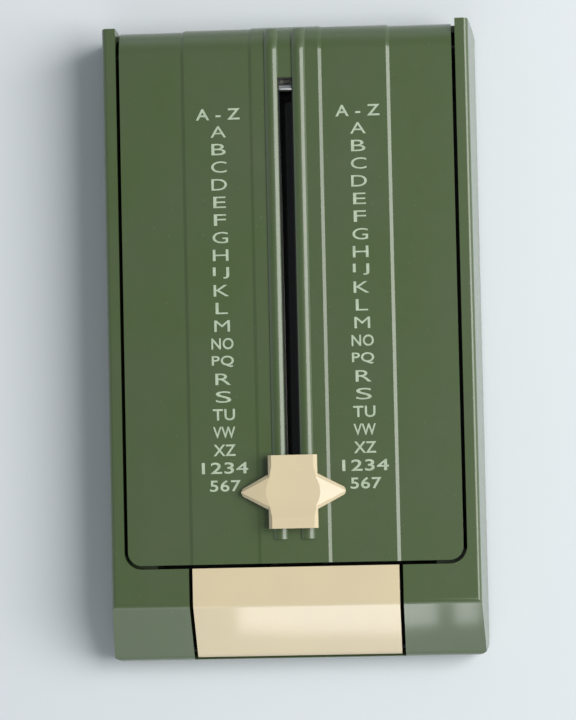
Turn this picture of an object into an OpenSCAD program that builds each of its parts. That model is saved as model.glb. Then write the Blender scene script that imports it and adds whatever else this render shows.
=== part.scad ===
// Pop up telephone index: a desk card index with a sliding pointer and a sprung lid.
// Millimetres. X runs across, Y towards the hinge, Z up, and the feet stand on Z = 0.

/* [Case] */
// Width of the case at its foot
case_w = 112; // [106:1:120]
// Length of the case, front to back
case_l = 187; // [176:1:198]
// Height of the case's rim and deck above the table
deck_z = 25; // [25:0.5:28]
// Thickness of the case's outer walls
case_wall = 2; // [1.6:0.1:2.4]
// Lean of the side walls, in degrees, wider at the bottom
wall_draft = 5; // [3:0.5:6]
// Rounding of the rim's outer edge
rim_round = 1.4; // [1:0.1:2]
// Distance from the side of the lid's opening to the outside of the foot
side_w = 5.9; // [5.4:0.1:6.4]
// Plan radius of the case's front corners
case_corner = 3.5; // [2.5:0.5:5]
// Plan radius of the case's back corners
back_corner = 3; // [2.5:0.5:4]
// Length of the flat deck in front of the lid
deck_l = 11; // [10:0.5:13]
// Run of the slope in front of the deck, in plan
slope_l = 16.3; // [15.3:0.1:17.5]
// Rounding of the fold between the deck and the slope
fold_round = 3; // [1:0.5:5]
// Height of the upright front face below the slope
nose_z = 11; // [10.5:0.5:11.5]
// Rounding between the slope and the front face
nose_round = 4; // [2:0.5:5]
// Thickness of the rubber feet that show below the case
foot_h = 1.2; // [1:0.1:1.6]
// Diameter of a rubber foot
foot_d = 12; // [8:1:14]

/* [Lid] */
// Running gap round the lid
lid_gap = 1.1; // [0.9:0.1:1.3]
// Height of the lid's face above the rim
lid_proud = 0.4; // [0.2:0.1:0.8]
// Thickness of the lid
lid_t = 2; // [1.6:0.1:2.2]
// Thickness of the lid's side skirts
skirt_t = 1.8; // [1.5:0.1:2]
// Depth of the lid's skirts below its face
skirt_h = 6.9; // [6:0.1:7.5]
// Outer radius of the lid's rounded back, about the hinge
back_r = 8; // [7.8:0.1:8.2]
// Plan radius of the lid's front corners
lid_corner = 4; // [2:0.5:6]
// Width of the raised middle band
band_w = 61.6; // [56:0.2:66]
// Height of the middle band above the lid's face
band_h = 0.35; // [0.2:0.05:0.35]
// Width of the inner band
inner_band_w = 21.6; // [18:0.2:24]
// Height of the inner band above the middle band
inner_band_h = 0.25; // [0.1:0.05:0.25]
// Width of the sloping edge of a band
shoulder_w = 1; // [0.6:0.1:1.4]
// Distance from the middle to the crest of a rib
rib_x = 4; // [3.9:0.05:4.1]
// Width of a rib
rib_w = 4; // [3.9:0.1:4.3]
// Height of a rib
rib_h = 1.1; // [0.8:0.1:1.4]
// Width of the slot in the lid
slot_w = 4.4; // [4.3:0.05:4.5]

/* [Letters and pointer] */
// Rows on the scale, one for each card
rows = 22; // [6:1:22]
// Distance from the hinge to the first row
first_row_in = 17.9; // [17.5:0.1:19]
// Distance from the lid's front edge to the last row
last_row_in = 22.85; // [22.5:0.05:24]
// How far the pointer parks beyond the last row
park_past = 2.1; // [1:0.1:2.4]
// Width of the pointer's block
pointer_w = 14.3; // [12:0.1:16]
// Length of the pointer's block
pointer_l = 21.3; // [18:0.1:24]
// Height of the pointer's block
pointer_h = 3.2; // [2.4:0.1:4]
// Distance between the pointer's tips
pointer_span = 30.5; // [26:0.5:34]
// Length of a wing where it leaves the block
wing_root_l = 11.4; // [8:0.2:14]

/* [Cards] */
// Distance from a card to the lid's side skirt
card_side_gap = 3.2; // [2.6:0.1:4]
// Distance from one card to the next
card_pitch = 0.3; // [0.28:0.01:0.32]
// Thickness of a card
card_t = 0.26; // [0.2:0.01:0.27]
// Width of the slot that the pickup foot can't pass
narrow_slot_w = 4; // [3.4:0.1:4.6]
// Width of the slot that the pickup foot passes
wide_slot_w = 9.6; // [9:0.1:10]
// Width of the pickup foot
pickup_w = 8; // [7.6:0.1:8.4]
// Length of the pickup foot
pickup_l = 4.4; // [3.6:0.1:4.6]

/* [Hinge and springs] */
// Diameter of a hinge pin
pin_d = 3; // [2.6:0.1:3.2]
// Radial running clearance of pins and rods
pin_clear = 0.04; // [0.02:0.01:0.08]
// Wire of the card rings
ring_wire = 1.4; // [1.2:0.1:1.5]
// Radius of a card ring, at the middle of its wire
ring_r = 4.6; // [4.5:0.05:4.65]
// Distance from the middle to a card ring
ring_x = 25; // [20:1:28]
// Wire of the lid springs
lid_wire = 0.8; // [0.7:0.05:0.85]
// Whole curls of a lid spring
lid_curls = 4; // [3:1:4]
// Advance of a lid spring for each curl
lid_spring_pitch = 1.3; // [1.28:0.01:1.34]
// Wire of the bar spring
bar_wire = 0.8; // [0.6:0.1:0.9]
// Radius of the bar spring, at the middle of its wire
bar_spring_r = 3; // [2.8:0.1:3.6]
// Curls of the bar spring
bar_curls = 7; // [5:1:8]

/* [Release bar] */
// Width of the release bar
bar_w = 60.4; // [56:0.2:64]
// Gap on each side of the release bar
bar_side_gap = 1.1; // [0.8:0.1:1.4]
// Thickness of the release bar
bar_t = 2; // [1.6:0.1:2.2]
// Height of the release bar above the deck
bar_proud = 0.3; // [0.1:0.1:0.5]
// Width of the case's sill below the release bar, in plan
sill_w = 1.7; // [1.6:0.1:2]
// Radius of the release bar's rolled lower edge
bar_roll_r = 2.6; // [2.4:0.1:2.8]
// Diameter of the rod that the release bar turns on
bar_rod_d = 2; // [1.6:0.1:2.2]

/* [Hidden] */
CARDS = [for (k = [1:rows]) str("index_card_", k < 10 ? "0" : "", k)];

green = [0.33, 0.41, 0.28];
cream = [0.87, 0.81, 0.67];
black = [0.06, 0.06, 0.06];
steel = [0.72, 0.72, 0.74];
paper = [0.93, 0.91, 0.84];
rubber = [0.12, 0.12, 0.12];

// Round cuts and arcs use this many sides
arc_fn = 48;
// A cut runs this far past the face it opens
over = 1;
// A cut or a limit that lies well outside the case
far = 20;
// Clearance between pieces that move past each other
move_gap = 0.3;
// Clearance between pieces that are fixed together
snug = 0.02;

// The case's places
half_w = case_w / 2;
front_y = -case_l / 2;
back_y = case_l / 2;
base_z = foot_h;
cover_t = 1.2;
cover_top = base_z + cover_t;
// The cover lies in a step cut this deep into the walls
cover_step = 0.4;
cover_in = case_wall - cover_step;
back_draft = 1;

// The hinge axis lies so that the lid's bands meet the case's back
lid_top = deck_z + lid_proud;
band_top = lid_top + band_h;
inner_top = band_top + inner_band_h;
axis_z = lid_top - back_r;
axis_y = back_y - back_r - band_h - inner_band_h;
lid_under = lid_top - lid_t;
back_inner_r = back_r - lid_t;
back_arc_y = back_y - (axis_z - base_z) * tan(back_draft);
back_under_deg = 30;

// The front: slope, deck and opening
fold_y = front_y + slope_l;
opening_front = fold_y + deck_l;
lid_front = opening_front + lid_gap;
slope_deg = atan2(deck_z - nose_z, slope_l);
slope_s = [-cos(slope_deg), -sin(slope_deg)];
slope_n = [-sin(slope_deg), cos(slope_deg)];
nose_steps = 4;

// The lid's width and the opening that it lies in
opening_w = case_w - 2 * side_w;
lid_w = opening_w - 2 * lid_gap;
lip_t = 1.5;
lip_z = deck_z - 8;

// Bosses and screws
boss_r = 4;
boss_x = opening_w / 2 - 2;
boss_in = 13;
boss_front_y = lid_front + boss_in;
boss_back_y = axis_y - boss_in;
pilot_r = 1.2;
screw_r = 1.15;
screw_head_r = 2.4;
screw_head_t = 0.6;
screw_hole_r = screw_r + 0.25;
cover_screw_l = 5;
rest_screw_l = 4.5;
// A hinge pin's lug keeps this much wall round its bore
lug_wall = 3.2;
lug_r = pin_d / 2 + lug_wall;
// The back wall stands this far below the hinge, out of the lid's way
back_wall_drop = 6.2;
// Ledges that the lid's front corners lie above
ledge_in = 7;
ledge_l = 4;

// The card rest and the cards
rest_t = 1.2;
stack_drop = 0.4;
rest_top = axis_z - (rows * card_pitch + move_gap) / 2 - stack_drop;
rest_z = rest_top - rest_t;
card_w = lid_w - 2 * (skirt_t + card_side_gap);
card_front = lid_front + 8.1;
card_back = axis_y + 0.9;
card_notch_y = axis_y - 5.5;
ring_hole_r = 2.6;
ring_hole_y = axis_y - 3;
card_slot_front = card_front + 8;
card_slot_back = axis_y - 9.9;
rest_front = opening_front + 8.6;
rest_back = axis_y + 0.3;
rest_side_gap = 1.5;
rest_rear_w = lid_w - 2 * skirt_t - 1;
rest_slot_w = wide_slot_w + 1.4;
rest_slot_y = [card_slot_front - 1.5, card_slot_back + 1.5];
// The ring holders
holder_w = 6.4;
holder_y = axis_y - 4.6;
holder_foot_l = 8.6;
jaw_inner_r = 3.4;
holder_foot_y = [axis_y - jaw_inner_r - holder_foot_l, axis_y - jaw_inner_r];
holder_foot_t = 1.2;
jaw_outer_r = back_inner_r - move_gap;

// The rows and the pointer's travel
first_row = axis_y - first_row_in;
last_row = lid_front + last_row_in;
row_pitch = (first_row - last_row) / (rows - 1);
park_y = last_row - park_past;
function row_y(k) = first_row - (k - 1) * row_pitch;
neck_l = 13;
neck_w = 2.8;
// The pin near the slot's far end stops the neck
end_pin_r = 1.1;
end_stop_gap = 0.2;
slot_end_y = first_row + neck_l / 2 + end_stop_gap + end_pin_r;
slot_back = slot_end_y + 2.5;
slot_front = park_y - neck_l / 2 - 0.6;

// Below the lid: rail, carriage and rack
rail_t = 1;
rail_lip = 0.35;
rail_w = 12.6;
rail_under = lid_under - rail_t;
carriage_t = 0.9;
carriage_top = rail_under - move_gap;
carriage_w = 21;
carriage_l = 13.4;
rack_x = -8.2;
rack_w = 3;
rack_under = rail_under - 0.1;
notch_r = 0.8;
rivet_r = 0.8;
rivet_x = 4.4;
rivet_in = 6;
rivet_hole_r = rivet_r + 0.05;
slot_end_z = rail_under + 0.9;
// The screws that hold the carriage to the pointer's neck
screw_y = 5;
carriage_pilot_r = 0.8;

// The pickup foot hangs from the carriage to the channel
pickup_t = 1.2;
pickup_top = rest_top - 0.6;
stem_w = 2.4;
stem_l = 3.2;
channel_t = 1;
foot_drop = 2.4;
channel_floor = pickup_top - pickup_t - foot_drop;

// The release bar
bar_hole_w = bar_w + 2 * bar_side_gap;
bar_top = deck_z + bar_proud;
bar_end_run = slope_l - sill_w;
bar_fold = [fold_y, bar_top];
bar_end = bar_fold + slope_s * (bar_end_run / cos(slope_deg));
bar_pivot = bar_end - slope_n * bar_roll_r;
cheek_t = 2.2;
tail_x = 7.5;
tail_w = 2;

// The latch: a hook on the leaf holds the lid catch's ledge
leaf_t = 0.6;
leaf_y = lid_front + 4.7;
hook_z = axis_z - 1.9;
hook_reach = 1.6;
hook_t = 1.4;
hook_tip_t = 0.4;
latch_screw_y = leaf_y + 5.5;
catch_t = 1.4;
catch_y = lid_front + 1.5;
catch_w = 10;
ledge_h = 1;
ledge_reach = 1.2;
ledge_top = hook_z - move_gap;
catch_bottom = ledge_top - ledge_h;
ramp_w = 19;
ramp_top = 13;
ramp_run = 8;
// The tail's tip stands just clear of the ramp, in front of the lid
ramp_gap = 0.45;
tail_y = opening_front - 0.4;
tail_tip = [tail_y, ramp_top - (leaf_y - tail_y) + ramp_gap * sqrt(2)];

// The wire of a spring: a round tube of 6 sides along a list of points
wire_sides = 6;
function unit(v) = v / norm(v);
function path_dir(p, i) =
    unit(p[min(i + 1, len(p) - 1)] - p[max(i - 1, 0)]);
function wire_ring(p, i, up, r) =
    let (d = path_dir(p, i), side = unit(cross(d, up)), rise = cross(side, d))
    [for (k = [0:wire_sides - 1])
        p[i] + r * (cos(360 * k / wire_sides) * side + sin(360 * k / wire_sides) * rise)];

module wire(p, up, r) {
    last = len(p) - 1;
    points = [for (i = [0:last]) each wire_ring(p, i, up, r)];
    skin = [for (i = [0:last - 1], k = [0:wire_sides - 1])
        let (a = i * wire_sides + k, b = i * wire_sides + (k + 1) % wire_sides)
        each [[a, b, a + wire_sides], [b, b + wire_sides, a + wire_sides]]];
    start_cap = [for (k = [1:wire_sides - 2]) [0, k + 1, k]];
    end_cap = [for (k = [1:wire_sides - 2])
        [last * wire_sides, last * wire_sides + k, last * wire_sides + k + 1]];
    polyhedron(points, concat(skin, start_cap, end_cap));
}

// The least gap between two turns of a wire that lie a curl or more apart
function turn_gap(p, r, apart) =
    min([for (i = [0:len(p) - 1 - apart], j = [i + apart:len(p) - 1])
        norm(p[i] - p[j]) - 2 * r]);

// Points of a lid spring: a leg on the card rest, curls round the pin, a leg under the lid
rings_a_curl = 8;
lid_spring_r = axis_z - rest_top - lid_wire / 2;
leg_up_deg = 60;
coil_deg = 360 * lid_curls + 90 + leg_up_deg;
// The last curl lies beside the boss of the lid's cheek
cheek_boss_x = lid_w / 2 - 4.1;
coil_end_x = cheek_boss_x - lid_wire / 2 - 0.16;
lid_spring_x = coil_end_x - coil_deg / 360 * lid_spring_pitch;
// The cards are narrower beside the springs
card_spring_gap = 5.2;
card_notch_x = lid_spring_x - lid_wire / 2 - card_spring_gap;
coil_steps = ceil(coil_deg * rings_a_curl / 360);
leg_z = lid_under - lid_wire / 2 - 0.1 - axis_z;
leg_rise = (leg_z - lid_spring_r * sin(leg_up_deg)) / cos(leg_up_deg);
leg_knee_y = lid_spring_r * cos(leg_up_deg) - leg_rise * sin(leg_up_deg);
lid_spring_points = concat(
    [[lid_spring_x, -5, -lid_spring_r], [lid_spring_x, -lid_wire, -lid_spring_r]],
    [for (i = [0:coil_steps])
        let (a = -90 + coil_deg * i / coil_steps)
        [lid_spring_x + (coil_end_x - lid_spring_x) * i / coil_steps,
            lid_spring_r * cos(a), lid_spring_r * sin(a)]],
    [[coil_end_x, leg_knee_y, leg_z], [coil_end_x, leg_knee_y - 1.5, leg_z],
        [coil_end_x, leg_knee_y - 6.5, leg_z]]);

// Points of the bar spring, from its seat on the cover to the underside of the bar
bar_spring_y = fold_y + 5.2;
bar_spring_low = cover_top + bar_wire / 2;
bar_spring_high = bar_top - bar_t - bar_wire / 2 - 0.05;
bar_spring_rise = bar_spring_high - bar_spring_low;
bar_spring_points = concat(
    [[bar_spring_r, bar_spring_y - bar_wire, bar_spring_low]],
    [for (i = [0:bar_curls * rings_a_curl])
        let (a = 360 * i / rings_a_curl, t = i / (bar_curls * rings_a_curl))
        [bar_spring_r * cos(a), bar_spring_y + bar_spring_r * sin(a),
            bar_spring_low + bar_spring_rise * t]],
    [[bar_spring_r, bar_spring_y + bar_wire, bar_spring_high]]);

echo(lid_spring_gap = turn_gap(lid_spring_points, lid_wire / 2, rings_a_curl - 1));
echo(bar_spring_gap = turn_gap(bar_spring_points, bar_wire / 2, rings_a_curl - 1));

// Helpers that set a flat outline along X or Y
module along_x(width) {
    translate([-width / 2, 0, 0]) rotate([90, 0, 90]) linear_extrude(width) children();
}

module along_y(from_y, to_y) {
    translate([0, to_y, 0]) rotate([90, 0, 0]) linear_extrude(to_y - from_y) children();
}

module box(x, y, z) {
    translate([x[0], y[0], z[0]]) cube([x[1] - x[0], y[1] - y[0], z[1] - z[0]]);
}

module pair() {
    children();
    mirror([1, 0, 0]) children();
}

module rod_x(x, y, z, r) {
    translate([x[0], y, z]) rotate([0, 90, 0]) cylinder(h = x[1] - x[0], r = r, $fn = arc_fn);
}

// A rectangle with its own corner radius at the front and at the back
module rounded_plan(w, y, front_r, back_r) {
    half = w / 2;
    middle = (y[0] + y[1]) / 2;
    for (end = [[y[0], 1, front_r], [y[1], -1, back_r]]) {
        r = end[2];
        turn = end[1];
        translate([0, end[0]]) scale([1, turn]) {
            translate([-half + r, 0]) square([w - 2 * r, abs(middle - end[0])]);
            translate([-half, r]) square([w, abs(middle - end[0]) - r]);
            for (x = [-half + r, half - r]) translate([x, r]) circle(r, $fn = arc_fn);
        }
    }
}

// What is cut off a fold to round it
module fold_relief(fold, r) {
    back = r * tan(slope_deg / 2);
    difference() {
        polygon([fold + [back, over], fold + [back, -r], fold + slope_s * back,
            fold + slope_s * back + slope_n * over, fold + [-over, over]]);
        translate(fold + [back, -r]) circle(r, $fn = 2 * arc_fn);
    }
}

// Points of the rounding between the slope and the front face
function nose_points(nose, r) =
    let (c = nose + [r, -r * tan((90 - slope_deg) / 2)], first = 90 + slope_deg)
    [for (i = [0:nose_steps]) let (a = first + (180 - first) * i / nose_steps)
        c + r * [cos(a), sin(a)]];

// The case's outer form: its section along the length, across the width, and its plan
module side_outline() {
    nose = [front_y, nose_z];
    fold = [fold_y, deck_z];
    difference() {
        union() {
            polygon(concat([[front_y, base_z], [back_y, base_z], [back_arc_y, axis_z],
                [axis_y, axis_z], [axis_y, deck_z], fold], nose_points(nose, nose_round)));
            intersection() {
                translate([axis_y, axis_z]) circle(back_arc_y - axis_y, $fn = 2 * arc_fn);
                translate([axis_y - over, axis_z]) square([far, deck_z - axis_z]);
            }
        }
        fold_relief(fold, fold_round);
    }
}

module end_outline() {
    r = rim_round;
    cz = deck_z - r;
    cx = half_w - (cz - base_z) * tan(wall_draft) - r / cos(wall_draft);
    for (m = [0, 1]) mirror([m, 0]) {
        polygon([[0, base_z], [half_w, base_z],
            [cx + r * cos(wall_draft), cz + r * sin(wall_draft)],
            [cx, cz], [cx, deck_z], [0, deck_z]]);
        translate([cx, cz]) circle(r, $fn = arc_fn);
    }
}

module case_form() {
    intersection() {
        along_x(case_w) side_outline();
        along_y(front_y, back_y) end_outline();
        translate([0, 0, base_z - over]) linear_extrude(deck_z)
            rounded_plan(case_w, [front_y, back_y], case_corner, back_corner);
    }
}

// The hollow of the case, flat-sided, a wall's thickness inside the outer form
module case_hollow() {
    top = deck_z - case_wall;
    low = base_z - over;
    chamfer = 1;
    fold = [fold_y + case_wall * tan(slope_deg / 2), top];
    nose_y = front_y + case_wall;
    arc = [for (a = [0, 30, 60])
        [axis_y, axis_z] + (back_arc_y - axis_y - case_wall) * [cos(a), sin(a)]];
    lean = tan(wall_draft);
    bottom_x = half_w - case_wall + (base_z - low) * lean;
    top_x = half_w - case_wall - (top - chamfer - base_z) * lean;
    half = [[bottom_x, low], [top_x, top - chamfer], [top_x - chamfer, top]];
    intersection() {
        along_x(case_w) polygon(concat([[nose_y, low], [back_y - case_wall, low]], arc,
            [[axis_y, top], fold, [nose_y, top - (fold[0] - nose_y) * tan(slope_deg)]]));
        along_y(front_y, back_y)
            polygon(concat(half, [for (i = [2:-1:0]) [-half[i][0], half[i][1]]]));
    }
}

module boss_places() {
    for (x = [-boss_x, boss_x], y = [boss_front_y, boss_back_y]) translate([x, y, 0]) children();
}

module case_shell() {
    back_clear_r = back_r + band_h + inner_band_h + move_gap;
    color(green) difference() {
        union() {
            difference() {
                case_form();
                case_hollow();
                // The lid's opening, out through the back
                translate([0, 0, base_z - over]) linear_extrude(deck_z + over)
                    rounded_plan(opening_w, [opening_front, back_y + 2 * over],
                        lid_corner + lid_gap, over);
            }
            // The back wall below the lid's rounded back
            intersection() {
                case_form();
                box([-opening_w / 2 - over, opening_w / 2 + over],
                    [back_y - case_wall, back_y], [base_z, axis_z - back_wall_drop]);
            }
            intersection() {
                case_form();
                union() {
                    // Lips that hang from the rim beside the lid
                    pair() box([opening_w / 2, opening_w / 2 + lip_t],
                        [opening_front - lip_t, back_y], [lip_z, deck_z]);
                    // Lugs that hold the hinge pins
                    pair() box([opening_w / 2, half_w], [axis_y - lug_r, axis_y + lug_r],
                        [axis_z - lug_r, axis_z + lug_r]);
                    // Wall below the deck's edge, on both sides of the release bar
                    pair() box([bar_hole_w / 2, opening_w / 2 + lip_t],
                        [opening_front - lip_t, opening_front], [cover_top, deck_z]);
                    // Cheeks beside the release bar
                    pair() box([bar_hole_w / 2, bar_hole_w / 2 + cheek_t],
                        [front_y, opening_front], [cover_top, deck_z]);
                    // Ledges that the lid's skirt rests above
                    pair() box([boss_x - ledge_in, opening_w / 2 + lip_t],
                        [opening_front - over, opening_front + ledge_l],
                        [cover_top, lid_top - skirt_h - move_gap]);
                    // Ribs from the bosses to the walls
                    pair() for (y = [boss_front_y, boss_back_y])
                        box([boss_x, half_w], [y - lip_t / 2, y + lip_t / 2],
                            [cover_top, rest_z]);
                }
            }
            boss_places() translate([0, 0, cover_top])
                cylinder(h = rest_z - cover_top, r = boss_r, $fn = arc_fn);
        }
        boss_places() translate([0, 0, cover_top - over])
            cylinder(h = rest_z - cover_top + 2 * over, r = pilot_r, $fn = arc_fn);
        // The release bar's place in the deck and slope
        difference() {
            box([-bar_hole_w / 2, bar_hole_w / 2], [front_y - over, opening_front + over],
                [cover_top, deck_z + over]);
            // The sill below the bar's rolled edge
            along_x(bar_hole_w + 2 * over) intersection() {
                sill_top = bar_pivot + slope_s * (bar_roll_r + move_gap);
                polygon([sill_top + slope_n * far, sill_top - slope_n * far,
                    [front_y - far, 0], [front_y - far, deck_z]]);
                translate([front_y - 2 * over, 0]) square([case_wall + 2 * over, deck_z]);
            }
        }
        rod_x([-bar_hole_w / 2 - cheek_t - over, bar_hole_w / 2 + cheek_t + over],
            bar_pivot[0], bar_pivot[1], bar_rod_d / 2 + pin_clear);
        rod_x([-half_w + case_wall, half_w - case_wall], axis_y, axis_z,
            pin_d / 2 + pin_clear);
        // Room for the lid's rounded back as it turns
        rod_x([-opening_w / 2, opening_w / 2], axis_y, axis_z, back_clear_r);
        // The recess that the bottom cover lies in
        box([-half_w + cover_in, half_w - cover_in],
            [front_y + cover_in, back_y - cover_in], [base_z - over, cover_top]);
    }
}

module bottom_cover() {
    fit = 0.2;
    color(steel) difference() {
        translate([0, 0, base_z]) linear_extrude(cover_t)
            rounded_plan(case_w - 2 * (cover_in + fit),
                [front_y + cover_in + fit, back_y - cover_in - fit],
                case_corner - cover_in, back_corner - cover_in);
        boss_places() translate([0, 0, base_z - over])
            cylinder(h = cover_t + 2 * over, r = screw_hole_r, $fn = arc_fn);
        boss_places() translate([0, 0, base_z - over])
            cylinder(h = over + screw_head_t, r = screw_head_r + fit, $fn = arc_fn);
    }
}

// A screw with its head down and a cross recess in the head
module screw(length) {
    recess_l = 2.8;
    recess_w = 0.5;
    recess_depth = 0.35;
    difference() {
        union() {
            cylinder(h = screw_head_t, r = screw_head_r, $fn = arc_fn);
            translate([0, 0, screw_head_t]) cylinder(h = length, r = screw_r, $fn = arc_fn);
        }
        for (turn = [0, 90]) rotate([0, 0, turn]) translate([-recess_l / 2, -recess_w / 2, -over])
            cube([recess_l, recess_w, over + recess_depth]);
    }
}

module cover_screws() {
    color(steel) boss_places() translate([0, 0, base_z]) screw(cover_screw_l);
}

module rubber_feet() {
    inset = 14;
    color(rubber) for (x = [-1, 1], y = [-1, 1])
        translate([x * (half_w - inset), y * (case_l / 2 - inset), 0])
            cylinder(h = foot_h, r = foot_d / 2, $fn = arc_fn);
}

module card_rest() {
    front_w = case_w - 2 * case_wall - 2 * rest_side_gap;
    // The sheet narrows here to pass between the lid's cheeks
    step_y = axis_y - 9;
    color(steel) difference() {
        union() {
            box([-front_w / 2, front_w / 2], [rest_front, step_y], [rest_z, rest_top]);
            box([-rest_rear_w / 2, rest_rear_w / 2], [step_y - over, rest_back],
                [rest_z, rest_top]);
        }
        box([-rest_slot_w / 2, rest_slot_w / 2], rest_slot_y, [rest_z - over, rest_top + over]);
        boss_places() translate([0, 0, rest_z - over])
            cylinder(h = rest_t + 2 * over, r = screw_hole_r, $fn = arc_fn);
        // Notches for the ring holders
        for (x = [-ring_x, ring_x]) translate([x, 0, 0])
            box([-holder_w / 2 - move_gap, holder_w / 2 + move_gap],
                [holder_y - move_gap - 0.1, rest_back + over], [rest_z - over, rest_top + over]);
    }
}

module card_rest_screws() {
    color(steel) boss_places() translate([0, 0, rest_top + screw_head_t]) mirror([0, 0, 1])
        screw(rest_screw_l);
}

module foot_channel() {
    flange = 3;
    y = rest_slot_y;
    outer = rest_slot_w / 2 + channel_t;
    color(black) difference() {
        union() {
            box([-outer, outer], [y[0] - channel_t, y[1] + channel_t],
                [channel_floor - channel_t, rest_z]);
            box([-outer - flange, outer + flange], [y[0] - channel_t, y[1] + channel_t],
                [rest_z - channel_t, rest_z]);
        }
        box([-rest_slot_w / 2, rest_slot_w / 2], y, [channel_floor, rest_z + over]);
    }
}

module ring(extra) {
    translate([0, axis_y, axis_z]) rotate([0, 90, 0]) rotate_extrude($fn = 2 * arc_fn)
        translate([ring_r, 0]) circle(ring_wire / 2 + extra, $fn = arc_fn);
}

module ring_holders() {
    w = holder_w;
    // The jaw's parts: below the rest's level, and behind the ring
    jaw_back = [axis_y + 1.3, axis_y + far];
    jaw_low = [axis_z - far, rest_top - 0.1];
    color(black) for (x = [-ring_x, ring_x]) translate([x, 0, 0]) difference() {
        union() {
            // Foot under the card rest, and the step up into its notch
            box([-w / 2, w / 2], holder_foot_y, [rest_z - holder_foot_t, rest_z]);
            box([-w / 2, w / 2], [holder_y, axis_y], [rest_z - 0.4, jaw_low[1]]);
            // The jaw that the ring passes through
            intersection() {
                difference() {
                    rod_x([-w / 2, w / 2], axis_y, axis_z, jaw_outer_r);
                    rod_x([-w / 2 - over, w / 2 + over], axis_y, axis_z, jaw_inner_r);
                }
                union() {
                    box([-w / 2, w / 2], [axis_y - 0.1, axis_y + far], jaw_low);
                    box([-w / 2, w / 2], jaw_back, [axis_z - far, axis_z - 2.6]);
                }
            }
        }
        ring(0.03);
    }
}

module card_rings() {
    color(steel) for (x = [-ring_x, ring_x]) translate([x, 0, 0]) ring(0);
}

module hinge_pins() {
    color(steel) pair()
        rod_x([lid_spring_x - lid_wire, half_w - case_wall - 0.8], axis_y, axis_z, pin_d / 2);
}

module lid_spring() {
    translate([0, axis_y, axis_z]) wire(lid_spring_points, [1, 0, 0], lid_wire / 2);
}

module lid_spring_left() {
    color(steel) mirror([1, 0, 0]) lid_spring();
}

module lid_spring_right() {
    color(steel) lid_spring();
}

module latch_spring() {
    foot_l = 9;
    ramp_t = 0.85;
    color(steel) difference() {
        union() {
            // Foot on the cover, and the leaf up to the ramp
            box([-ramp_w / 2, ramp_w / 2], [leaf_y, leaf_y + foot_l],
                [cover_top, cover_top + leaf_t]);
            box([-ramp_w / 2, ramp_w / 2], [leaf_y, leaf_y + leaf_t], [cover_top, ramp_top]);
            // Ramps bent forward and down, which the bar's tails press on
            pair() translate([tail_x, 0, 0]) along_x(tail_w + 2) polygon([
                [leaf_y, ramp_top], [leaf_y - ramp_run, ramp_top - ramp_run],
                [leaf_y - ramp_run, ramp_top - ramp_run - ramp_t], [leaf_y, ramp_top - ramp_t]]);
            // The narrow upper leaf and its hook
            box([-catch_w / 2, catch_w / 2], [leaf_y, leaf_y + leaf_t],
                [ramp_top - over, hook_z + hook_t]);
            along_x(catch_w) polygon([[leaf_y, hook_z], [leaf_y - hook_reach, hook_z],
                [leaf_y - hook_reach, hook_z + hook_tip_t], [leaf_y, hook_z + hook_t]]);
        }
        translate([0, latch_screw_y, cover_top - over])
            cylinder(h = leaf_t + 2 * over, r = screw_r + 0.15, $fn = arc_fn);
    }
}

module latch_screw() {
    head_t = 1.2;
    driver_w = 0.6;
    driver_depth = 0.5;
    color(steel) translate([0, latch_screw_y, cover_top + leaf_t]) difference() {
        cylinder(h = head_t, r = screw_head_r, $fn = arc_fn);
        translate([-screw_head_r - over, -driver_w / 2, head_t - driver_depth])
            cube([2 * (screw_head_r + over), driver_w, over]);
    }
}

module bar_pivot_rod() {
    reach = bar_hole_w / 2 + cheek_t - 0.2;
    color(steel) rod_x([-reach, reach], bar_pivot[0], bar_pivot[1], bar_rod_d / 2);
}

module bar_spring() {
    color(steel) wire(bar_spring_points, [0, 0, 1], bar_wire / 2);
}

// The lid's section, upright on the hinge axis: its face, and the bands with sloping edges
module lid_section() {
    middle_r = back_r + band_h;
    inner_r = middle_r + inner_band_h;
    half = [[lid_w / 2, back_inner_r], [lid_w / 2, back_r], [band_w / 2, back_r],
        [band_w / 2 - shoulder_w, middle_r], [inner_band_w / 2, middle_r],
        [inner_band_w / 2 - shoulder_w, inner_r]];
    last = len(half) - 1;
    polygon(concat(half, [for (i = [0:last]) [-half[last - i][0], half[last - i][1]]]));
}

// The face runs flat to the hinge and turns about it to the back
module lid_face() {
    translate([0, 0, axis_z]) along_y(lid_front, axis_y) lid_section();
    intersection() {
        translate([0, axis_y, axis_z]) rotate([0, 90, 0]) rotate_extrude($fn = 3 * arc_fn)
            rotate(-90) lid_section();
        along_x(lid_w + 2 * over) polygon([[axis_y, axis_z], [axis_y, axis_z + far],
            [axis_y + far, axis_z + far], [axis_y + far, axis_z - far * tan(back_under_deg)]]);
    }
}

// A rib's section, upright on the hinge axis: low side walls and an arched crest
module rib_section() {
    wall = 0.25;
    half = rib_w / 2;
    rise = rib_h - wall;
    r = (half * half + rise * rise) / (2 * rise);
    crest = inner_top + rib_h - axis_z;
    intersection() {
        translate([-half, crest - rib_h - over / 2]) square([rib_w, rib_h + over]);
        translate([0, crest - r]) circle(r, $fn = 2 * arc_fn);
    }
}

module rib() {
    rib_front = lid_front + 7;
    rib_back = axis_y + back_r - 0.7;
    translate([rib_x, 0, axis_z]) along_y(rib_front, axis_y) rib_section();
    // The rib follows the rounded back down
    intersection() {
        translate([rib_x, axis_y, axis_z]) rotate([0, 90, 0]) rotate_extrude($fn = 3 * arc_fn)
            rotate(-90) rib_section();
        box([0, rib_x + rib_w], [axis_y, rib_back], [axis_z, inner_top + 2]);
    }
}

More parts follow.
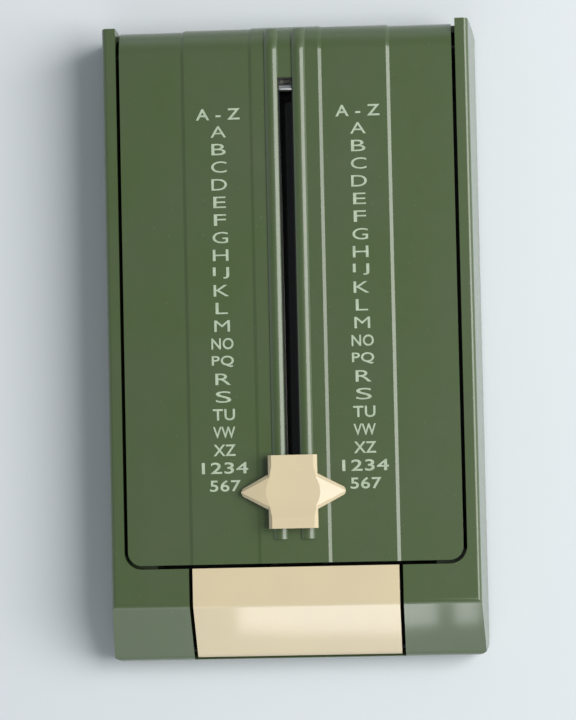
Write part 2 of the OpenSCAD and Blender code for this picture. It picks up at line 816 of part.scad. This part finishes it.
module lid_cover() {
    cheek_r = back_r - 0.2;
    skirt_z = lid_top - skirt_h;
    front_skirt_t = 1.5;
    color(green) difference() {
        union() {
            intersection() {
                union() {
                    lid_face();
                    // Side skirts, with the cheeks that turn on the pins
                    pair() translate([(lid_w - skirt_t) / 2, 0, 0]) along_x(skirt_t) {
                        translate([lid_front, skirt_z]) square([axis_y - lid_front, skirt_h]);
                        translate([axis_y, axis_z]) circle(cheek_r, $fn = 2 * arc_fn);
                    }
                    box([-lid_w / 2, lid_w / 2], [lid_front, lid_front + front_skirt_t],
                        [skirt_z, lid_top]);
                }
                linear_extrude(lid_top + over)
                    rounded_plan(lid_w, [lid_front, back_y + 2], lid_corner, 0.5);
            }
            pair() rib();
            pair() rod_x([cheek_boss_x, lid_w / 2 - over], axis_y, axis_z, pin_d);
        }
        pair() rod_x([cheek_boss_x - over, lid_w / 2 + over], axis_y, axis_z,
            pin_d / 2 + pin_clear);
        // The groove that the pin at the slot's end lies in
        rod_x([-rail_w / 2 + over - snug, rail_w / 2 - over + snug], slot_end_y, slot_end_z,
            end_pin_r + pin_clear);
        box([-slot_w / 2, slot_w / 2], [slot_front, slot_back],
            [lid_under - over, inner_top + 2]);
        rivet_places() translate([0, 0, lid_under - over])
            cylinder(h = over + 1.3, r = rivet_hole_r, $fn = arc_fn);
    }
}

module slot_rail() {
    end = 4;
    inside = slot_w / 2 - rail_lip;
    color(black) difference() {
        union() {
            box([-rail_w / 2, rail_w / 2], [slot_front - end, slot_back + end],
                [rail_under, lid_under]);
            box([-slot_w / 2 + snug, slot_w / 2 - snug], [slot_front + snug, slot_back - snug],
                [rail_under, band_top]);
        }
        box([-inside, inside], [slot_front + rail_lip, slot_back - rail_lip],
            [rail_under - over, inner_top]);
        rod_x([-rail_w / 2 + over, rail_w / 2 - over], slot_end_y, slot_end_z,
            end_pin_r + pin_clear);
        rivet_places() translate([0, 0, rail_under - over])
            cylinder(h = rail_t + 2 * over, r = rivet_hole_r, $fn = arc_fn);
    }
}

module rivet_places() {
    for (x = [-rivet_x, rivet_x], y = [slot_front + rivet_in, (slot_front + slot_back) / 2,
        slot_back - rivet_in])
        translate([x, y, 0]) children();
}

module detent_rack() {
    color(black) difference() {
        box([rack_x - rack_w / 2, rack_x + rack_w / 2], [park_y - 6, first_row + 6],
            [rack_under, lid_under]);
        for (k = [1:rows]) rod_x([rack_x - rack_w, rack_x + rack_w], row_y(k), rack_under, notch_r);
        rod_x([rack_x - rack_w, rack_x + rack_w], park_y, rack_under, notch_r);
    }
}

module rail_rivets() {
    head_t = 0.12;
    color(steel) rivet_places() {
        translate([0, 0, rail_under - head_t]) cylinder(h = head_t, r = 1.3, $fn = arc_fn);
        translate([0, 0, rail_under - head_t]) cylinder(h = rail_t + 1.2, r = rivet_r, $fn = arc_fn);
    }
}

module slot_end_pin() {
    color(steel) rod_x([-rail_w / 2 + over, rail_w / 2 - over], slot_end_y, slot_end_z, end_pin_r);
}

module lid_catch() {
    y = [catch_y, catch_y + catch_t];
    color(steel) {
        box([-catch_w / 2, catch_w / 2], y, [catch_bottom, lid_under]);
        along_x(catch_w) polygon([[y[1], ledge_top], [y[1] + ledge_reach, ledge_top],
            [y[1] + ledge_reach, ledge_top - 0.4], [y[1], catch_bottom]]);
        box([-catch_w / 2, catch_w / 2], [y[1] - 0.2, y[1] + 1], [lid_under - 1, lid_under]);
    }
}

module pointer() {
    low = inner_top + rib_h + move_gap;
    top = low + pointer_h;
    wing_low = band_top + 0.8;
    wing_rise = 1.5;
    tip_x = pointer_span / 2;
    half = pointer_w / 2;
    long = pointer_l / 2;
    scoop_r = 30;
    scoop_depth = 0.9;
    tip_r = 1.5;
    wing_root = [half - 1, wing_root_l / 2];
    wing_end = [tip_x - 0.8, 1.3];
    wing_bevel = 1.1;
    // Turn of a wing's edge in plan, and the fall of its top towards the tip
    wing_deg = atan2(wing_end[1] - wing_root[1], wing_end[0] - wing_root[0]);
    wing_fall = atan2(top - 0.5 - wing_low - wing_rise, tip_x - half + 1);
    color(cream) translate([0, park_y, 0]) difference() {
        union() {
            // The block, chamfered along its sides
            translate([0, long, 0]) rotate([90, 0, 0]) linear_extrude(pointer_l)
                polygon([[-half, low], [half, low], [half, top - 1], [half - 1, top],
                    [-half + 1, top], [-half, top - 1]]);
            // Wings that slope down to rounded tips, their edges bevelled
            pair() difference() {
                intersection() {
                    translate([0, 0, wing_low]) linear_extrude(far) union() {
                        polygon([wing_root, wing_end, [wing_end[0], -wing_end[1]],
                            [wing_root[0], -wing_root[1]]]);
                        translate([tip_x - tip_r, 0]) circle(tip_r, $fn = arc_fn);
                    }
                    along_y(-long, long) polygon([[half - 1, low],
                        [rib_x + rib_w / 2 + move_gap, low], [half + 0.2, wing_low],
                        [tip_x, wing_low], [tip_x, wing_low + wing_rise], [half - 1, top - 0.5]]);
                }
                for (m = [0, 1]) mirror([0, m, 0])
                    translate([wing_root[0], wing_root[1] - wing_bevel, top - 0.5])
                        rotate([0, 0, wing_deg]) rotate([0, wing_fall, 0]) rotate([-45, 0, 0])
                            translate([-far, 0, 0]) cube([2 * far, far, far]);
            }
            // The neck through the slot
            box([-neck_w / 2, neck_w / 2], [-neck_l / 2, neck_l / 2], [carriage_top, low + 0.5]);
        }
        // The finger scoop across the block
        rod_x([-half - over, half + over], 0, top + scoop_r - scoop_depth, scoop_r);
        for (y = [-screw_y, screw_y]) translate([0, y, carriage_top - over])
            cylinder(h = over + 3.2, r = carriage_pilot_r, $fn = arc_fn);
    }
}

module pointer_carriage() {
    color(steel) translate([0, park_y, 0]) difference() {
        box([-carriage_w / 2, carriage_w / 2], [-carriage_l / 2, carriage_l / 2],
            [carriage_top - carriage_t, carriage_top]);
        for (y = [-screw_y, screw_y]) translate([0, y, carriage_top - carriage_t - over])
            cylinder(h = carriage_t + 2 * over, r = carriage_pilot_r + 0.1, $fn = arc_fn);
        box([-stem_w / 2 - snug, stem_w / 2 + snug], [-stem_l / 2 - snug, stem_l / 2 + snug],
            [carriage_top - carriage_t - over, carriage_top + over]);
        // Window that the detent spring's bump stands in
        translate([rack_x, 0, 0]) box([-1.5, 1.5], [-1.5, 1.5],
            [carriage_top - carriage_t - over, carriage_top + over]);
    }
}

module carriage_screws() {
    head = 0.35;
    color(steel) translate([0, park_y, 0]) for (y = [-screw_y, screw_y])
        translate([0, y, carriage_top - carriage_t]) {
            translate([0, 0, -head]) cylinder(h = head, r = 1.5, $fn = arc_fn);
            translate([0, 0, -head]) cylinder(h = carriage_t + 3, r = carriage_pilot_r - 0.05,
                $fn = arc_fn);
        }
}

module pickup_foot() {
    color(steel) translate([0, park_y, 0]) {
        box([-stem_w / 2, stem_w / 2], [-stem_l / 2, stem_l / 2],
            [pickup_top - pickup_t, carriage_top - snug]);
        box([-pickup_w / 2, pickup_w / 2], [-pickup_l / 2, pickup_l / 2],
            [pickup_top - pickup_t, pickup_top]);
    }
}

module detent_spring() {
    leaf = 0.25;
    under = carriage_top - carriage_t;
    color(steel) translate([rack_x, park_y, 0]) {
        box([-1.2, 1.2], [-7, 7], [under - leaf, under]);
        intersection() {
            rod_x([-1.2, 1.2], 0, under + 0.35, 0.7);
            box([-1.2, 1.2], [-1, 1], [under - leaf, carriage_top + 0.1]);
        }
    }
}

module release_bar() {
    lug_under = bar_top - bar_t;
    inner_fold = bar_fold - [0, bar_t] + [bar_t * tan(slope_deg / 2), 0];
    rear = opening_front;
    side_t = 1.5;
    skirt_in = 5;
    color(cream) difference() {
        union() {
            along_x(bar_w) difference() {
                union() {
                    polygon([[rear, bar_top], bar_fold, bar_end, bar_end - slope_n * bar_t,
                        inner_fold, [rear, bar_top - bar_t]]);
                    translate(bar_pivot) circle(bar_roll_r, $fn = arc_fn);
                }
                fold_relief(bar_fold, fold_round);
            }
            // Side skirts that stiffen the bar
            pair() translate([bar_w / 2 - side_t / 2, 0, 0]) along_x(side_t) difference() {
                polygon([[rear, bar_top - 0.5], bar_fold - [0, 0.5], bar_end - slope_n * 0.5,
                    bar_pivot, bar_pivot + [skirt_in, 3],
                    inner_fold + [2, -skirt_in], [rear, lug_under - skirt_in + 1]]);
                fold_relief(bar_fold, fold_round);
            }
            // Tails that press on the ramps of the latch spring
            pair() translate([tail_x, 0, 0]) along_x(tail_w) polygon([
                [rear - 1, lug_under + 0.5], [fold_y + 4, lug_under + 0.5],
                [rear - 2.4, tail_tip[1]], tail_tip, [tail_tip[0], tail_tip[1] + 2],
                [rear - 1, tail_tip[1] + 4]]);
            // Peg inside the spring
            translate([0, bar_spring_y, lug_under - 2.5])
                cylinder(h = 3, r = bar_spring_r - bar_wire / 2 - 0.3, $fn = arc_fn);
        }
        rod_x([-bar_w / 2 - over, bar_w / 2 + over], bar_pivot[0], bar_pivot[1],
            bar_rod_d / 2 + pin_clear);
    }
}

// Card k hides below card k - 1, and the last card stays in the case
function card_z(k) = k == rows ? rest_top
    : rest_top + card_pitch + move_gap + (rows - 1 - k) * card_pitch;

module index_card(k) {
    wide_to = k == rows ? card_slot_front : row_y(k) - row_pitch / 2;
    color(paper) translate([0, 0, card_z(k)]) linear_extrude(card_t) difference() {
        rounded_plan(card_w, [card_front, card_back], 2, 2);
        for (x = [-card_w / 2 - over, card_notch_x])
            translate([x, card_notch_y])
                square([card_w / 2 - card_notch_x + over, card_back - card_notch_y + over]);
        translate([-narrow_slot_w / 2, card_slot_front])
            square([narrow_slot_w, card_slot_back - card_slot_front]);
        translate([-wide_slot_w / 2, wide_to]) square([wide_slot_w, card_slot_back - wide_to]);
        for (x = [-ring_x, ring_x]) translate([x, ring_hole_y]) circle(ring_hole_r, $fn = arc_fn);
    }
}

case_shell();
bottom_cover();
cover_screws();
rubber_feet();
card_rest();
card_rest_screws();
foot_channel();
ring_holders();
card_rings();
hinge_pins();
lid_spring_left();
lid_spring_right();
latch_spring();
latch_screw();
bar_pivot_rod();
bar_spring();
lid_cover();
slot_rail();
detent_rack();
rail_rivets();
slot_end_pin();
lid_catch();
pointer();
pointer_carriage();
carriage_screws();
pickup_foot();
detent_spring();
release_bar();
for (k = [1:rows])
    index_card(k);
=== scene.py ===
import math

import bmesh
import bpy
from mathutils import Euler, Matrix, Vector


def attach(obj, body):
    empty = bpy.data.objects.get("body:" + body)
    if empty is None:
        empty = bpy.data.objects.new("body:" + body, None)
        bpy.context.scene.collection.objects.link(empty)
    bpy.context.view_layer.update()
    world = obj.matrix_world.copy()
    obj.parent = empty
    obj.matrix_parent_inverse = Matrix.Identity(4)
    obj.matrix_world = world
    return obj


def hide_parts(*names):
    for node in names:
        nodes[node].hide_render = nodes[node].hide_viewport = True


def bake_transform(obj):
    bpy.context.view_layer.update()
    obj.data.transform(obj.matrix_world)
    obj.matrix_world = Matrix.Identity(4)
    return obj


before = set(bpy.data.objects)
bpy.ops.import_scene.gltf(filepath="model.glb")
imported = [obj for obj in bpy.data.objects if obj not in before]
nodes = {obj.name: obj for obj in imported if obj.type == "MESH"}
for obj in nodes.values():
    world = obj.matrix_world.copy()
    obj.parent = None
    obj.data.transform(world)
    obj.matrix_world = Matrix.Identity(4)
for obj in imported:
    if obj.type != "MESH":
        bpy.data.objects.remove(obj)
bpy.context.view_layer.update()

MM = 0.001

# The camera looks almost straight down on the desk, a little from the right and the front.
# The view settings stay plain, so a colour renders about as it is written.
camera_data = bpy.data.cameras.new("camera")
camera_data.sensor_fit = "VERTICAL"
camera_data.sensor_height = 24.0
camera_data.lens = 94.27
camera = bpy.data.objects.new("camera", camera_data)
camera.location = (0.0502, -0.0494, 0.850)
camera.rotation_euler = Euler((math.radians(2.94), math.radians(3.61), math.radians(-1.24)))
bpy.context.scene.collection.objects.link(camera)
bpy.context.scene.camera = camera
bpy.context.scene.view_settings.view_transform = "Standard"


# The desk is a plain pale sheet that runs out of view on every side.
# It takes the object's shadow, and its colour is a faint blue white, a little cloudy.
def new_material(name, roughness=None):
    """A material with its node tree and its shader."""
    material = bpy.data.materials.new(name)
    material.use_nodes = True
    shader = material.node_tree.nodes["Principled BSDF"]
    if roughness is not None:
        shader.inputs["Roughness"].default_value = roughness
    return material, material.node_tree, shader


def add_node(tree, kind, **values):
    """A node with its settings, and its sockets by name."""
    node = tree.nodes.new(kind)
    for key, value in values.items():
        if key in node.inputs:
            node.inputs[key].default_value = value
        else:
            setattr(node, key, value)
    return node


def object_place(tree, scale):
    """Object coordinates, scaled for a pattern."""
    place = tree.nodes.new("ShaderNodeTexCoord")
    turn = tree.nodes.new("ShaderNodeMapping")
    turn.inputs["Scale"].default_value = scale
    tree.links.new(place.outputs["Object"], turn.inputs["Vector"])
    return turn.outputs["Vector"]


def noise(tree, scale, **values):
    """A noise pattern with about scale spots in a metre along each axis."""
    node = add_node(tree, "ShaderNodeTexNoise", Scale=1.0, **values)
    tree.links.new(object_place(tree, scale), node.inputs["Vector"])
    return node.outputs["Fac"]


def spread(tree, value, low, high, to_low=0.0, to_high=1.0):
    """The value's range from low to high, stretched to another range."""
    node = add_node(tree, "ShaderNodeMapRange")
    node.inputs["From Min"].default_value = low
    node.inputs["From Max"].default_value = high
    node.inputs["To Min"].default_value = to_low
    node.inputs["To Max"].default_value = to_high
    tree.links.new(value, node.inputs["Value"])
    return node.outputs["Result"]


def blend_colours(tree, factor, first, second):
    """A mix of two colours, each a tuple or the output of another node."""
    node = add_node(tree, "ShaderNodeMix", data_type="RGBA")
    tree.links.new(factor, node.inputs["Factor"])
    for socket, colour in (("A", first), ("B", second)):
        if isinstance(colour, tuple):
            node.inputs[socket].default_value = colour + (1,)
        else:
            tree.links.new(colour, node.inputs[socket])
    return node.outputs["Result"]


def add_bump(tree, shader, height, depth, strength=0.3):
    """Fine relief on a finish, its depth in millimetres."""
    bump = add_node(tree, "ShaderNodeBump", Strength=strength, Distance=depth * MM)
    tree.links.new(height, bump.inputs["Height"])
    tree.links.new(bump.outputs["Normal"], shader.inputs["Normal"])


desk_white, desk_tree, desk_shader = new_material("desk_white", 0.9)
desk_shader.inputs["Specular IOR Level"].default_value = 0.1
desk_cloud = spread(desk_tree, noise(desk_tree, (3, 3, 3), Detail=2.0), 0.3, 0.7)
desk_colour = blend_colours(desk_tree, desk_cloud, (0.83, 0.87, 0.90), (0.80, 0.845, 0.88))
desk_tree.links.new(desk_colour, desk_shader.inputs["Base Color"])

desk_mesh = bpy.data.meshes.new("desk")
desk_bm = bmesh.new()
bmesh.ops.create_grid(desk_bm, x_segments=1, y_segments=1, size=3.0)
desk_bm.to_mesh(desk_mesh)
desk_bm.free()
desk_mesh.materials.append(desk_white)
desk = bpy.data.objects.new("desk", desk_mesh)
bpy.context.scene.collection.objects.link(desk)


# Soft daylight: a large window high at the right gives the broad soft shadow at the left.
# A weak fill stands in front, and two bright panes low in front show in the front slope.
def area_light(name, place, target, size, power, colour=(1, 1, 1)):
    """A rectangular lamp at a place, turned to its target, in metres and watts."""
    data = bpy.data.lights.new(name, "AREA")
    data.shape = "RECTANGLE"
    data.size, data.size_y = size
    data.energy = power
    data.color = colour
    lamp = bpy.data.objects.new(name, data)
    lamp.location = place
    lamp.rotation_euler = (Vector(target) - Vector(place)).to_track_quat("-Z", "Y").to_euler()
    bpy.context.scene.collection.objects.link(lamp)


area_light("window_right", (0.88, 0.1, 1.02), (0, 0, 0), (0.9, 1.0), 17.6, (1.0, 0.99, 0.97))
area_light("front_fill", (-0.1, -1.2, 0.7), (0, 0, 0), (1.2, 0.5), 2.2)

pane_y = -1.585
pane_low, pane_high = 0.18, 0.58
pane_middle = (pane_low + pane_high) / 2
pane_glow = 7.0
for pane_name, pane_left, pane_right in (("pane_wide", -0.141, 0.024), ("pane_narrow", 0.038, 0.059)):
    pane_x = (pane_left + pane_right) / 2
    pane_size = (pane_right - pane_left, pane_high - pane_low)
    pane_watts = pane_glow * math.pi * pane_size[0] * pane_size[1]
    area_light(pane_name, (pane_x, pane_y, pane_middle), (pane_x, 0, pane_middle), pane_size, pane_watts)

# The room: an even dim light, with a pale wall near the horizon that the camera and the
# gloss see, and a darker ceiling above, so the flat lid isn't veiled.
world = bpy.data.worlds.new("room")
bpy.context.scene.world = world
world.use_nodes = True
room = world.node_tree
room_light = room.nodes["Background"]
room_light.inputs["Color"].default_value = (0.86, 0.93, 1.0, 1)
room_way = room.nodes.new("ShaderNodeTexCoord")
room_axes = room.nodes.new("ShaderNodeSeparateXYZ")
room.links.new(room_way.outputs["Generated"], room_axes.inputs["Vector"])
room_low = spread(room, room_axes.outputs["Z"], 0.25, 0.75, 1.0, 0.0)
room_path = room.nodes.new("ShaderNodeLightPath")
room_seen = add_node(room, "ShaderNodeMath", operation="MAXIMUM")
room.links.new(room_path.outputs["Is Camera Ray"], room_seen.inputs[0])
room.links.new(room_path.outputs["Is Glossy Ray"], room_seen.inputs[1])
room_wall = add_node(room, "ShaderNodeMath", operation="MULTIPLY")
room.links.new(room_low, room_wall.inputs[0])
room.links.new(room_seen.outputs["Value"], room_wall.inputs[1])
room_strength = spread(room, room_wall.outputs["Value"], 0.0, 1.0, 0.24, 0.9)
room.links.new(room_strength, room_light.inputs["Strength"])


# Case shell: one green acrylonitrile moulding with the rim, the front deck and the slope.
# Semi-gloss, faintly mottled in the pigment, with fine wear and a few specks of dust.
def soften_edges(name, width, angle=25):
    """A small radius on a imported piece's edges, and flat faces that shade flat."""
    piece = nodes[name]
    weld = piece.modifiers.new("weld", "WELD")
    weld.merge_threshold = 0.002 * MM
    edge = piece.modifiers.new("edge", "BEVEL")
    edge.width = width * MM
    edge.segments = 2
    edge.limit_method = "ANGLE"
    edge.angle_limit = math.radians(angle)
    normals = piece.modifiers.new("normals", "WEIGHTED_NORMAL")
    normals.weight = 80
    for polygon in piece.data.polygons:
        polygon.use_smooth = True


def dress(name, material):
    """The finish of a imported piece."""
    nodes[name].data.materials.clear()
    nodes[name].data.materials.append(material)


def moulded(name, colour, second, roughness, dust=0.0):
    """Moulded plastic: clouded pigment, gloss that varies with wear, a fine skin."""
    material, tree, shader = new_material(name)
    shader.inputs["Coat Weight"].default_value = 0.6
    shader.inputs["Coat Roughness"].default_value = 0.05
    cloud = spread(tree, noise(tree, (38, 30, 38), Detail=3.0, Roughness=0.55), 0.3, 0.7)
    pigment = blend_colours(tree, cloud, colour, second)
    if dust:
        speck = spread(tree, noise(tree, (900, 900, 900), Detail=1.0), 0.73, 0.80, 0.0, dust)
        pigment = blend_colours(tree, speck, pigment, (0.42, 0.45, 0.38))
    tree.links.new(pigment, shader.inputs["Base Color"])
    wear = noise(tree, (260, 180, 260), Detail=5.0, Roughness=0.65)
    gloss = spread(tree, wear, 0.0, 1.0, roughness - 0.07, roughness + 0.09)
    tree.links.new(gloss, shader.inputs["Roughness"])
    add_bump(tree, shader, noise(tree, (1400, 1400, 1400), Detail=3.0), 0.012, 0.25)
    return material


green_plastic = moulded("green_plastic", (0.072, 0.117, 0.036), (0.083, 0.120, 0.050), 0.36, 0.1)
soften_edges("case_shell", 0.25)
dress("case_shell", green_plastic)

# Bottom cover and card rest: pressed steel sheet, satin black green on both sides, its near-black colour
# partly painted shade.
# The rest shows only through the gaps round the lid, where the colour stands for their shade, and when
# the lid stands open.
painted_steel, paint_tree, paint_shader = new_material("painted_steel", 0.45)
paint_cloud = spread(paint_tree, noise(paint_tree, (90, 90, 90), Detail=4.0), 0.35, 0.65)
# Near black: black green paint, darkened further as painted shade for the gaps round the lid
paint_and_gap_shade_colour = blend_colours(paint_tree, paint_cloud, (0.014, 0.018, 0.014), (0.022, 0.026, 0.021))
paint_tree.links.new(paint_and_gap_shade_colour, paint_shader.inputs["Base Color"])
add_bump(paint_tree, paint_shader, noise(paint_tree, (700, 700, 700), Detail=2.0), 0.02)
for painted in ("bottom_cover", "card_rest"):
    soften_edges(painted, 0.12)
    dress(painted, painted_steel)

# Four rubber feet: soft black discs punched from sheet rubber and glued under the cover.
# They are dull, with a dusty bloom where they have rubbed on the desk.
rubber, rubber_tree, rubber_shader = new_material("rubber", 0.85)
rubber_bloom = spread(rubber_tree, noise(rubber_tree, (160, 160, 160), Detail=4.0), 0.4, 0.7)
rubber_colour = blend_colours(rubber_tree, rubber_bloom, (0.018, 0.018, 0.018), (0.05, 0.05, 0.048))
rubber_tree.links.new(rubber_colour, rubber_shader.inputs["Base Color"])
add_bump(rubber_tree, rubber_shader, noise(rubber_tree, (1100, 1100, 1100), Detail=3.0), 0.05)
soften_edges("rubber_feet", 0.2)
dress("rubber_feet", rubber)

# Small black mouldings: the trough below the rest, the ring holders, the slot's lining and
# the notched strip beside it. Black polyamide, finely grained and matt.
black_plastic = moulded("black_plastic", (0.008, 0.010, 0.009), (0.014, 0.016, 0.014), 0.5)
for black_piece in ("foot_channel", "ring_holders", "slot_rail", "detent_rack"):
    soften_edges(black_piece, 0.1)
    dress(black_piece, black_plastic)


# Screws, rings, leaves and plates: steel, zinc plated or left bright from the wire mill.
# The plating is a little cloudy, and fine marks run along it.
def plated(name, colour, second, roughness):
    """Bright or plated steel: a clouded colour, and gloss broken by fine drawn marks."""
    material, tree, shader = new_material(name)
    shader.inputs["Metallic"].default_value = 1.0
    cloud = spread(tree, noise(tree, (220, 220, 220), Detail=4.0), 0.35, 0.65)
    tree.links.new(blend_colours(tree, cloud, colour, second), shader.inputs["Base Color"])
    marks = noise(tree, (300, 4000, 1500), Detail=3.0)
    tree.links.new(spread(tree, marks, 0.3, 0.7, roughness - 0.08, roughness + 0.1),
                   shader.inputs["Roughness"])
    add_bump(tree, shader, marks, 0.006, 0.2)
    return material


zinc_steel = plated("zinc_steel", (0.50, 0.51, 0.50), (0.40, 0.41, 0.41), 0.36)
for steel_piece in ("cover_screws", "card_rings", "latch_spring", "latch_screw", "rail_rivets",
                    "slot_end_pin", "lid_catch", "pointer_carriage", "carriage_screws",
                    "pickup_foot", "detent_spring"):
    soften_edges(steel_piece, 0.06)
    dress(steel_piece, zinc_steel)

# Pivot rod, hinge pins and rest screws: drawn and turned steel, coloured near black as painted shade.
# They lie in the case beside the bar and the lid, and this painted shade keeps them dark in the gaps.
# Near-black steel: painted shade for the gaps beside the bar and the lid
gap_shade_steel = plated("gap_shade_steel", (0.030, 0.030, 0.032), (0.018, 0.018, 0.020), 0.5)
for dark_piece in ("bar_pivot_rod", "hinge_pins", "card_rest_screws"):
    soften_edges(dark_piece, 0.06)
    dress(dark_piece, gap_shade_steel)

# Springs: hard drawn steel wire with a straw brown bloom from tempering.
# Each is the imported spring with its wire rounded.
spring_steel = plated("spring_steel", (0.36, 0.33, 0.28), (0.26, 0.24, 0.22), 0.3)
# Rounding a six-sided wire thins it by this much, which is given back
lost_by_rounding = 0.06 * MM


def round_wire(node, name):
    """A copy of a packed spring whose six-sided wire is rounded to its full thickness."""
    bm = bmesh.new()
    bm.from_mesh(nodes[node].data)
    bmesh.ops.remove_doubles(bm, verts=bm.verts, dist=0.002 * MM)
    mesh = bpy.data.meshes.new(name)
    bm.to_mesh(mesh)
    bm.free()
    piece = bpy.data.objects.new(name, mesh)
    bpy.context.scene.collection.objects.link(piece)
    rounding = piece.modifiers.new("rounding", "SUBSURF")
    rounding.levels = rounding.render_levels = 1
    filling = piece.modifiers.new("filling", "DISPLACE")
    filling.mid_level = 0
    filling.strength = lost_by_rounding
    bpy.context.view_layer.update()
    finished = piece.evaluated_get(bpy.context.evaluated_depsgraph_get())
    piece.data = bpy.data.meshes.new_from_object(finished)
    piece.modifiers.clear()
    for polygon in piece.data.polygons:
        polygon.use_smooth = True
    piece.data.materials.clear()
    piece.data.materials.append(spring_steel)
    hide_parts(node)
    return piece


# The inner leg lies on the card rest and the outer leg under the lid; the curls lie between.
for side, lid_spring in ((-1, "lid_spring_left"), (1, "lid_spring_right")):
    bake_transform(round_wire(lid_spring, lid_spring + "_wire"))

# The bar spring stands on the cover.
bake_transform(round_wire("bar_spring", "bar_spring_wire"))

# Lid: one green moulding, with a wide raised band down its middle, ribs beside the slot and
# a rolled rear edge. It was moulded from the same plastic as the case.
soften_edges("lid_cover", 0.14, angle=12)
dress("lid_cover", green_plastic)

# Scale: letters printed on the band in pale ink, one column on each side of the slot.
# A plain alphabet and counting marks stand in the rows, the same on both sides.
ROWS = ["A - Z", "A", "B", "C", "D", "E", "F", "G", "H", "I J", "K", "L", "M", "NO", "PQ", "R", "S",
        "TU", "VW", "XZ", "1234", "567"]
ROW_WIDTHS = {"A - Z": 13.0, "1234": 13.6, "567": 9.0, "I J": 4.8, "B": 4.2, "L": 3.6, "E": 3.7, "F": 3.6}
letter_width, pair_width = 4.6, 6.5
letter_height = 3.35 * MM
first_row_y, row_pitch = 67.0 * MM, 5.2024 * MM
left_column_x, right_column_x = -20.0 * MM, 21.1 * MM
band_top_z = 25.75 * MM
ink_depth = 0.03 * MM
# A word is raised by this much on each side before it is thinned to the ink's depth
word_extrude = 0.01
# Two or more glyphs in a row are narrower, so their strokes are thickened
thicker_stroke = 0.014

ink, ink_tree, ink_shader = new_material("pale_ink", 0.5)
ink_wear = spread(ink_tree, noise(ink_tree, (500, 500, 500), Detail=4.0), 0.3, 0.7)
ink_colour = blend_colours(ink_tree, ink_wear, (0.56, 0.66, 0.50), (0.42, 0.52, 0.37))
ink_tree.links.new(ink_colour, ink_shader.inputs["Base Color"])


def printed(words, width, height):
    """The mesh of a word, stretched to a width and a height about its own middle."""
    text = bpy.data.curves.new("word", "FONT")
    text.body = words
    text.extrude = word_extrude
    text.resolution_u = 4
    text.space_character = 1.06
    text.offset = thicker_stroke if len(words) > 1 else 0.0
    holder = bpy.data.objects.new("word", text)
    mesh = bpy.data.meshes.new_from_object(holder)
    bpy.data.objects.remove(holder)
    across = [v.co.x for v in mesh.vertices]
    upward = [v.co.y for v in mesh.vertices]
    middle = Vector(((min(across) + max(across)) / 2, (min(upward) + max(upward)) / 2, 0))
    size = (width / (max(across) - min(across)), height / (max(upward) - min(upward)), 1)
    mesh.transform(Matrix.Diagonal(size + (1,)) @ Matrix.Translation(-middle))
    return mesh


print_bm = bmesh.new()
for row, words in enumerate(ROWS):
    plain_width = letter_width if len(words) == 1 else pair_width
    word_mesh = printed(words, ROW_WIDTHS.get(words, plain_width) * MM, letter_height)
    word_mesh.transform(Matrix.Diagonal((1, 1, ink_depth / (2 * word_extrude), 1)))
    for column_x in (left_column_x, right_column_x):
        place = Matrix.Translation((column_x, first_row_y - row * row_pitch, band_top_z))
        placed = word_mesh.copy()
        placed.transform(place)
        print_bm.from_mesh(placed)
print_mesh = bpy.data.meshes.new("scale_print")
print_bm.to_mesh(print_mesh)
print_bm.free()
print_mesh.materials.append(ink)
scale_print = bpy.data.objects.new("scale_print", print_mesh)
bpy.context.scene.collection.objects.link(scale_print)
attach(scale_print, "lid")

# Pointer and release bar: cream mouldings, slightly yellowed with age and handled smooth.
# The pointer's block and wings are bevelled; the bar is folded over the case's front edge.
cream_plastic = moulded("cream_plastic", (0.82, 0.69, 0.43), (0.77, 0.65, 0.43), 0.38)
for cream_piece, crease in (("pointer", 7), ("release_bar", 25)):
    soften_edges(cream_piece, 0.2, angle=crease)
    dress(cream_piece, cream_plastic)

# Index cards: twenty-two leaves of cream card stock on two wire rings, ruled in pale blue.
# Each is cut away in its middle, so the pickup foot lifts the cards down to its own row.
card_stock, card_tree, card_shader = new_material("card_stock", 0.8)
line_pitch, line_width = 6.5 * MM, 0.3 * MM
card_place = card_tree.nodes.new("ShaderNodeTexCoord")
card_axes = card_tree.nodes.new("ShaderNodeSeparateXYZ")
card_tree.links.new(card_place.outputs["Object"], card_axes.inputs["Vector"])
card_wrap = add_node(card_tree, "ShaderNodeMath", operation="PINGPONG")
card_wrap.inputs[1].default_value = line_pitch / 2
card_tree.links.new(card_axes.outputs["Y"], card_wrap.inputs[0])
card_line = spread(card_tree, card_wrap.outputs["Value"], 0, line_width, 0.6, 0.0)
card_fibre = spread(card_tree, noise(card_tree, (900, 300, 900), Detail=5.0), 0.3, 0.7)
card_base = blend_colours(card_tree, card_fibre, (0.80, 0.77, 0.66), (0.73, 0.70, 0.59))
card_colour = blend_colours(card_tree, card_line, card_base, (0.30, 0.44, 0.52))
card_tree.links.new(card_colour, card_shader.inputs["Base Color"])
add_bump(card_tree, card_shader, noise(card_tree, (1500, 1500, 1500), Detail=3.0), 0.01)
for node_name in nodes:
    if node_name.startswith("index_card_"):
        dress(node_name, card_stock)
